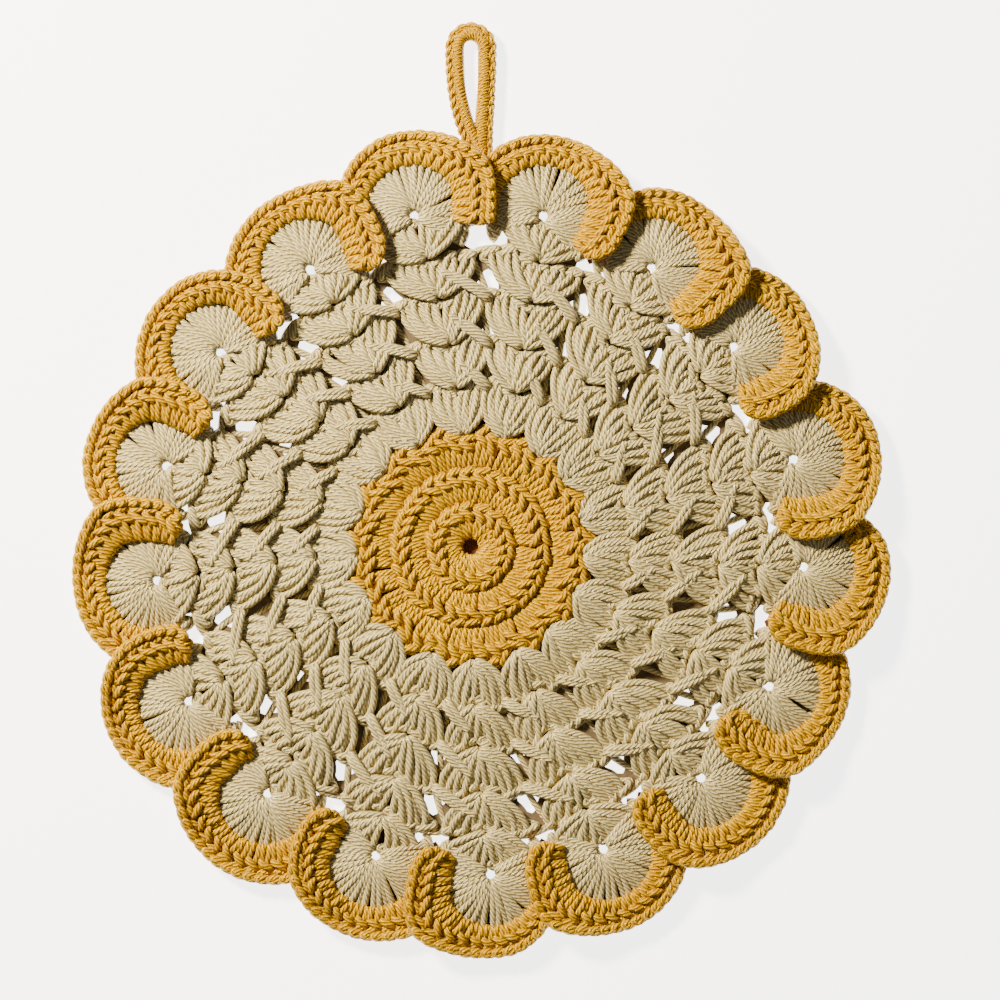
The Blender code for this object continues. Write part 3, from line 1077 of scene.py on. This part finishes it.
@dataclass
class Edging:
    """The golden edge round each fan: a row of posts and a rope-like row of chains along its rim.

    Attributes:
        fans: the fans that it is worked into.
        posts: stitches in a scallop.
        links: chain links in a scallop's rope.
        start_deg: where its first stitch stands, from straight outwards.
        end_deg: where its last one stands.
        lift: how high the clockwise end lies, over the start of the next scallop.
        loop_deg: how much sooner the scallop before the hanging loop ends.
        end_r: how far from the eye its rim reaches at the clockwise end.
        head_half: half the width of a stitch's head.
        width: the band's width, laid out flat; not used.
    """

    fans: Fans
    posts: int = 21
    links: int = 27
    start_deg: float = -104.0
    end_deg: float = 112.0
    lift: float = 3.4
    loop_deg: float = 13.0
    end_r: float = 21.0
    head_half: float = 0.95
    width: float = 10.5

    @staticmethod
    def notches(index: int) -> tuple[tuple[float, float], tuple[float, float]]:
        """The angle and distance from a scallop's eye of the notch before it and of the one after it.

        Args:
            index: the column.

        Returns:
            An angle and a distance for each notch.
        """
        scallop, earlier = column(index), column(index - 1)
        before = seen_from_eye(scallop, polar(earlier.notch_deg, earlier.notch_r))
        return before, seen_from_eye(scallop, polar(scallop.notch_deg, scallop.notch_r))

    def outer(self, index: int, angle: float) -> float:
        """How far the rim reaches from the eye at an angle from straight outwards.

        Args:
            index: the column.
            angle: the angle at the eye.

        Returns:
            The distance.
        """
        scallop = column(index)
        tip = scallop.tip_r - scallop.eye_r
        notch_deg, notch_r = self.notches(index)[0 if angle < 0.0 else 1]
        share = abs(angle / notch_deg)
        if share <= 1.0:
            return tip + (notch_r - tip) * share**2
        if angle < 0.0:
            tucked = 1.5 * smooth(notch_deg, self.start_deg, angle)
            return notch_r - tucked - 0.01 * (abs(angle) - abs(notch_deg))
        side = notch_r + (self.end_r - notch_r) * smooth(notch_deg, 100.0, angle)
        return side - 2.6 * smooth(101.0, 117.0, angle)

    def inner(self, angle: float) -> float:
        """How far the foot of the row stands from the eye."""
        return self.fans.reach(angle) + 0.8 - 1.7 * smooth(55.0, 95.0, angle)

    def rise(self, angle: float) -> float:
        """How high the row lies over the middle of the cloth."""
        return self.lift * smooth(8.0, 58.0, angle)

    def spread(self, index: int, count: int) -> list[float]:
        """Angles of the stitches, from before the first to the last.

        Args:
            index: the column.
            count: how many stitches there are.

        Returns:
            One angle more than there are stitches.
        """
        end = self.end_deg - (self.loop_deg if index == COUNT - 1 else 0.0)
        span = end - self.start_deg
        return [self.start_deg + span * (number - 0.5) / (count - 1) for number in range(count + 1)]

    def row_path(self, index: int) -> np.ndarray:
        """The row of posts as one length of yarn.

        Args:
            index: the column.

        Returns:
            The path.
        """
        rng = Draw.EDGE_ROW.rng(index)
        run = YarnRun(rng)
        scallop = SCALLOPS[index]
        last: tuple[np.ndarray, float] | None = None
        for angle in self.spread(index, self.posts):
            head = around_eye(scallop, angle, self.outer(index, angle) - 2.7 + rng.normal(0.0, 0.12))
            foot = around_eye(scallop, angle - 4.0, self.inner(angle))
            lift = self.rise(angle)
            lifts = 1.0 + 0.35 * lift, lift - 0.7
            post = Post(foot, head, Post.foot_half, self.head_half, -0.3, *lifts)
            if last is not None:
                run.work(DOUBLE_CROCHET, post, *last)
            last = (head, post.head_lift)
        return run.path()

    def rope_path(self, index: int) -> np.ndarray:
        """The rope along the rim as one length of yarn.

        Args:
            index: the column.

        Returns:
            The path.
        """
        run = YarnRun(Draw.EDGE_ROPE.rng(index), slack=0.08)
        scallop = SCALLOPS[index]
        last: np.ndarray | None = None
        for angle in self.spread(index, self.links):
            spot = around_eye(scallop, angle, self.outer(index, angle) - 1.25)
            if last is not None:
                run.chain(last, spot, 0.55, self.rise(angle) + 1.0)
            last = spot
        return run.path()

    def outline(self, index: int, inset: float) -> list[np.ndarray]:
        """The rim from one notch to the next, clockwise and moved inwards by an inset.

        Args:
            index: the column.
            inset: how far inside the rim it keeps.

        Returns:
            Its flat points.
        """
        (start, _), (end, _) = self.notches(index)
        angles = np.linspace(start, end, 12)[1:]
        return [around_eye(column(index), angle, self.outer(index, angle) - inset) for angle in angles]


@dataclass(frozen=True)
class Winding:
    """How a strand winds along the hanging loop's cord.

    Attributes:
        yarn_r: its yarn's radius.
        low: half the width that it takes up on the left leg.
        high: the same on the right leg.
        outer: 1 to keep to the loop's outside, -1 to keep to its inside.
        pitch: the length of one of its turns.
    """

    yarn_r: float
    low: float
    high: float
    outer: float
    pitch: float


@dataclass
class HangingLoop:
    """The cord loop, closed to a teardrop: a twisted pair of strands outside, a close coil inside.

    The pair is thick on the left leg and thin on the right, where the coil takes its place.

    Attributes:
        box: the loop solid's lowest and highest corner, in millimetres round the disc's middle.
        half: half the cord's width.
        height: the height of the cord's middle.
        tuck: how far below the solid's foot the cord goes on, behind the scallops.
        drift: how far to the right of its middle the foot stands.
        rope: the twisted pair.
        core: the two strands that the coil is wound on.
        coil: the close coil, whose yarn is pulled thinner.
    """

    box: tuple[np.ndarray, np.ndarray]
    half: float = 2.75
    height: float = 2.2
    tuck: float = 1.8
    drift: float = 3.1
    rope: Winding = Winding(0.72, 1.4, 1.05, 0.78, 4.4)
    core: Winding = Winding(0.72, 1.2, 1.25, 0.1, 9.0)
    coil: Winding = Winding(0.62, 1.65, 2.05, -1.0, 0.92)

    def middle(self, turn: float) -> np.ndarray:
        """The cord's middle line, from the foot at 0 up the left leg, round and down to the foot at 1.

        Args:
            turn: the place along the loop, from 0 to 1.

        Returns:
            The flat point.
        """
        low, high = self.box
        centre, half = 0.5 * (low[0] + high[0]), 0.5 * (high[0] - low[0]) - self.half
        top, bottom = high[1] - self.half, low[1] - self.tuck
        angle = math.tau * turn
        across, along = -math.sin(angle), -math.cos(angle)
        shoulder = top - half
        if along >= 0.0:
            return np.array([centre + half * across, shoulder + half * along])
        drop = -along
        narrow = half * (1.0 - 0.55 * drop**3)
        sideways = centre + narrow * across + self.drift * drop**3
        return np.array([sideways, shoulder + (bottom - shoulder) * drop])

    def wound(self, winding: Winding, phase: float) -> np.ndarray:
        """A strand that winds along the cord.

        Args:
            winding: how it winds.
            phase: where it starts, in radians.

        Returns:
            The path.
        """
        fine = np.array([self.middle(turn) for turn in np.linspace(0.015, 0.985, 500)])
        run = np.concatenate([[0.0], np.cumsum(np.linalg.norm(np.diff(fine, axis=0), axis=1))])
        count = int(run[-1] / winding.pitch * 7.0)
        place = np.linspace(0.4, run[-1] - 0.4, count)
        flat = np.column_stack([np.interp(place, run, fine[:, axis]) for axis in (0, 1)])
        heading = np.gradient(flat, axis=0)
        heading = heading / np.linalg.norm(heading, axis=1)[:, None]
        outwards = np.column_stack([-heading[:, 1], heading[:, 0]])
        share = place / run[-1]
        blend = share * share * (3.0 - 2.0 * share)
        width = winding.low + (winding.high - winding.low) * blend
        angle = math.tau * place / winding.pitch + phase
        reach = winding.outer * (self.half - width) + (width - winding.yarn_r) * np.cos(angle)
        rise = self.height + np.minimum(width - winding.yarn_r, 1.0) * np.sin(angle)
        return np.column_stack([flat + outwards * reach[:, None], rise])

    def pair_paths(self) -> list[np.ndarray]:
        """The rope's two strands and the core's two."""
        return [self.wound(winding, phase) for winding in (self.rope, self.core) for phase in (0.0, math.pi)]


@dataclass
class InnerCloth:
    """The cloth behind the stitches, as a thin sheet with the real openings, so that nothing is hollow.

    Attributes:
        low: the height of its underside.
        thick: its thickness.
    """

    low: float = 0.7
    thick: float = 0.8

    def piece(
        self,
        name: str,
        outer: list[np.ndarray],
        holes: list[list[np.ndarray]],
        origin: np.ndarray,
        finish: bpy.types.Material,
    ) -> tuple[bpy.types.Object, float]:
        """Make the sheet.

        Args:
            name: the piece's name.
            outer: its outline, clockwise.
            holes: the outlines of its openings, clockwise.
            origin: the disc's middle in the frame, in metres.
            finish: its material.

        Returns:
            The object, and its flat area in square metres.
        """
        points: list[Vector] = []
        faces = []
        for outline in [outer, *holes]:
            first = len(points)
            points += [Vector((float(spot[0]), float(spot[1]))) for spot in outline]
            faces.append(list(range(len(points) - 1, first - 1, -1)))
        flat, _, cells, _, _, sources = delaunay_2d_cdt(points, [], faces, 0, 1e-6)
        kept = [cell for cell, source in zip(cells, sources) if source == [0]]
        uses = Counter(frozenset(pair) for cell in kept for pair in zip(cell, cell[1:] + cell[:1]))
        corners = sorted({corner for cell in kept for corner in cell})
        number = {corner: place for place, corner in enumerate(corners)}
        spots, area = [], 0.0
        for height in (self.low, self.low + self.thick):
            for corner in corners:
                spot = flat[corner]
                spots.append((spot.x * MM + origin[0], spot.y * MM + origin[1], height * MM))
        lift = len(corners)
        mesh_faces = []
        for cell in kept:
            here = [number[corner] for corner in cell]
            mesh_faces.append([corner + lift for corner in here])
            mesh_faces.append(list(reversed(here)))
            for start, end in zip(cell, cell[1:] + cell[:1]):
                if uses[frozenset((start, end))] == 1:
                    a, b = number[start], number[end]
                    mesh_faces.append([a, b, b + lift, a + lift])
            p, q, r = (flat[corner] for corner in cell)
            area += 0.5 * abs((q - p).cross(r - p)) * MM * MM
        mesh = bpy.data.meshes.new(name)
        mesh.from_pydata(spots, [], mesh_faces)
        mesh.materials.append(finish)
        mesh.validate()
        sheet = new_object(name, mesh)
        LOG.info("%s: %.4f m2 of cloth", name, area)
        return sheet, area


@dataclass(frozen=True)
class Gap:
    """An opening of the cream cloth, a rounded triangle that points outwards.

    Attributes:
        width: its size across.
        height: its size outwards.
        chance: the share of the columns that have one.
    """

    width: float
    height: float
    chance: float = 1.0

    def outline(self, centre: np.ndarray, angle: float, sides: int = 15) -> list[np.ndarray]:
        """The outline, clockwise.

        Args:
            centre: its middle.
            angle: the angle at which outwards is.
            sides: how many sides it has.

        Returns:
            Its flat points.
        """
        out = polar(angle, self.height)
        side = right_of(polar(angle, self.width))
        points = []
        for place in range(sides):
            turn = math.tau * place / sides
            size = 0.5 + 0.11 * math.cos(3.0 * turn)
            points.append(centre + size * (side * math.sin(turn) + out * math.cos(turn)))
        return points


# The gaps between the columns, by the round at whose top they start. The innermost round has none.
GAPS = {2: Gap(4.2, 4.4, 0.6), 3: Gap(5.4, 5.8), 4: Gap(8.2, 7.6)}
LOOP_GAP = Gap(10.6, 10.0)  # the outermost gap under the hanging loop
EYE_GAP = Gap(3.4, 4.2)


@dataclass
class PotHolder:
    """The whole object: places its pieces, dresses them and ties them to the frame.

    Attributes:
        origin: the disc's middle in the frame, in metres.
        sweep: the tree that makes the yarn.
        plan: where the rounds of shells stand.
        disc: the golden disc.
        fans: the cream fans.
        under: the cloth inside the golden yarn, which lies lowest.
        between: the cloth inside the cream yarn, which lies over the golden one's borders.
    """

    origin: np.ndarray
    sweep: YarnSweep
    plan: ShellPlan = field(default_factory=ShellPlan)
    disc: CentreDisc = field(default_factory=CentreDisc)
    fans: Fans = field(default_factory=Fans)
    under: InnerCloth = field(default_factory=lambda: InnerCloth(0.05, 0.6))
    between: InnerCloth = field(default_factory=InnerCloth)

    def __post_init__(self) -> None:
        """Make the finishes."""
        self.gold = MercerisedCotton("golden_mercerised_cotton", "d8ae00", "7c4800", "c79200").material()
        self.cream = MercerisedCotton("cream_mercerised_cotton", "dccd96", "7e6a3a", "c9b97e").material()
        self.gold_shade = ShadedCotton("golden_cotton_in_shade", "6a3604", "3a1a00").material()
        self.cream_shade = ShadedCotton("cream_cotton_in_shade", "705d3e", "453620").material()

    def own(self, piece: bpy.types.Object, slot: Slot, *nodes: str) -> None:
        """Tie a piece to the frame's body and hide the solids that it stands for.

        Args:
            piece: the piece.
            slot: its material slot; not used.
            *nodes: the solids that it stands for, if any.
        """
        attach(piece, "root")
        if nodes:
            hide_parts(*nodes)

    def build_disc(self) -> None:
        """Work the golden disc."""
        yarn = self.sweep.piece("disc_yarn", self.disc.paths(), self.origin, self.gold, self.disc.yarn_r)
        outline = self.disc.outline(0.8)
        cloth, area = self.under.piece("disc_cloth", outline, [], self.origin, self.gold_shade)
        self.own(yarn, Slot.GOLD)
        self.own(cloth, Slot.GOLD, "centre_disc")

    def gaps(self) -> list[list[np.ndarray]]:
        """The openings of the cream cloth: the fans' eyes, and those gaps between columns that show light.

        Returns:
            Their outlines.
        """
        rng = np.random.default_rng(SEED)
        found = []
        for index, scallop in enumerate(SCALLOPS):
            eye = polar(scallop.eye_deg, scallop.eye_r - 0.4)
            found.append(EYE_GAP.outline(eye, scallop.eye_deg))
            for level, usual in GAPS.items():
                under_loop = index == COUNT - 1 and level == max(GAPS)
                gap = LOOP_GAP if under_loop else usual
                angle, radius = self.plan.border(index, level)
                centre = polar(angle + 0.4, radius + 1.2 + 0.5 * gap.height)
                if rng.random() < gap.chance:
                    found.append(gap.outline(centre, angle))
        return found

    def fans_outline(self, inset: float, valley_inset: float) -> list[np.ndarray]:
        """The outline of all the fans, clockwise.

        Args:
            inset: how far inside a fan's rim it keeps.
            valley_inset: how far inside a valley's foot it keeps.

        Returns:
            Its flat points.
        """
        outline = []
        for index in range(COUNT):
            angle, radius = self.plan.border(index, self.plan.last)
            outline += self.fans.rim(index, inset)
            outline.append(polar(angle, radius) - valley_inset * polar(angle, 1.0))
        return outline

    def build_shells(self) -> None:
        """Work the cream shells and fans."""
        shells = ShellRounds(self.plan)
        yarns = []
        for level in range(1, self.plan.last + 1):
            paths = [shells.path(level)]
            yarns.append(self.sweep.piece(f"shell_yarn_{level}", paths, self.origin, self.cream))
        for name, columns in HALVES.items():
            paths = [self.fans.path(index) for index in columns]
            yarns.append(self.sweep.piece(f"fan_yarn_{name}", paths, self.origin, self.cream))
        outline = self.fans_outline(1.2, 1.0)
        holes = [self.disc.outline(0.2), *self.gaps()]
        cloth, area = self.between.piece("cream_cloth", outline, holes, self.origin, self.cream_shade)
        for yarn in yarns:
            self.own(yarn, Slot.CREAM)
        self.own(cloth, Slot.CREAM, "cream_body")

    def build_edging(self) -> None:
        """Work the golden edge."""
        edging = Edging(self.fans)
        yarns = []
        for name, columns in HALVES.items():
            rows = [edging.row_path(index) for index in columns]
            yarns.append(self.sweep.piece(f"edge_row_yarn_{name}", rows, self.origin, self.gold))
        ropes = [edging.rope_path(index) for index in range(COUNT)]
        yarns.append(self.sweep.piece("edge_rope_yarn", ropes, self.origin, self.gold))
        outer = [spot for index in range(COUNT) for spot in edging.outline(index, 2.0)]
        inner = self.fans_outline(1.8, 1.6)
        cloth, area = self.under.piece("edging_cloth", outer, [inner], self.origin, self.gold_shade)
        for yarn in yarns:
            self.own(yarn, Slot.GOLD)
        self.own(cloth, Slot.GOLD, "scallop_edging")

    def build_loop(self) -> None:
        """Work the hanging loop."""
        low, high = (np.array(corner)[:2] / MM - self.origin[:2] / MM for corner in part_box("hanging_loop"))
        loop = HangingLoop((low, high))
        strands = loop.pair_paths()
        pair = self.sweep.piece("loop_pair_yarn", strands, self.origin, self.gold, loop.rope.yarn_r)
        wound = [loop.wound(loop.coil, 0.0)]
        coil = self.sweep.piece("loop_coil_yarn", wound, self.origin, self.gold, loop.coil.yarn_r)
        self.own(pair, Slot.GOLD)
        self.own(coil, Slot.GOLD, "hanging_loop")


@dataclass
class Studio:
    """The pale floor, the soft light and the camera above.

    Attributes:
        span: the width that the camera sees, in metres.
        centre: the point under the camera, in metres.
        floor_reach: how far the floor goes on from its middle, in metres.
    """

    span: float = 0.260
    centre: tuple[float, float] = (0.0047, -0.0029)
    floor_reach: float = 3.0

    def build(self) -> None:
        """Set up the studio."""
        self._floor()
        self._light("key", (-0.48, 0.42, 0.46), 0.14, 28.0, "fff2dc")
        self._light("fill", (0.5, -0.3, 0.9), 0.9, 1.0, "f6f6ff")
        world = bpy.data.worlds.new("studio")
        world.use_nodes = True
        world.node_tree.nodes["Background"].inputs["Color"].default_value = linear("fbfaf8")
        world.node_tree.nodes["Background"].inputs["Strength"].default_value = 0.13
        bpy.context.scene.world = world
        self._camera()

    def _floor(self) -> None:
        """Lay the floor."""
        mesh = bpy.data.meshes.new("floor")
        reach = self.floor_reach
        corners = [(-reach, -reach, 0), (reach, -reach, 0), (reach, reach, 0), (-reach, reach, 0)]
        mesh.from_pydata(corners, [], [(0, 1, 2, 3)])
        mesh.materials.append(Paper().material())
        new_object("floor", mesh)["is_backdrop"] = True

    @staticmethod
    def _light(name: str, place: tuple[float, float, float], size: float, power: float, colour: str) -> None:
        """Hang one soft light that faces the pot holder.

        Args:
            name: its name.
            place: where it hangs, in metres.
            size: its diameter, in metres.
            power: its power, in watts.
            colour: sRGB hex.
        """
        data = bpy.data.lights.new(name, "AREA")
        data.shape, data.size, data.energy = "DISK", size, power
        data.color = linear(colour)[:3]
        lamp = new_object(name, data)
        lamp.location = place
        lamp.rotation_euler = (-Vector(place)).to_track_quat("-Z", "Y").to_euler()

    def _camera(self) -> None:
        """Point the camera straight down."""
        data = bpy.data.cameras.new("camera")
        data.lens, data.sensor_width = 100.0, 36.0
        camera = new_object("camera", data)
        camera.location = (*self.centre, self.span * data.lens / data.sensor_width)
        bpy.context.scene.camera = camera


def main() -> None:
    """Build the studio and the pot holder, and work out both boxes."""
    logging.basicConfig(level=logging.INFO, format="%(name)s: %(message)s")
    low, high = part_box("centre_disc")
    origin = np.array([0.5 * (low[0] + high[0]), 0.5 * (low[1] + high[1])])
    Studio().build()
    holder = PotHolder(origin, YarnSweep())
    holder.build_disc()
    holder.build_shells()
    holder.build_edging()
    holder.build_loop()
    boxes = {"cad": CAD_BOX, "visual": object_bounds()}
    plain = {name: [[float(v) for v in corner] for corner in box] for name, box in boxes.items()}


if __name__ == "__main__":
    main()
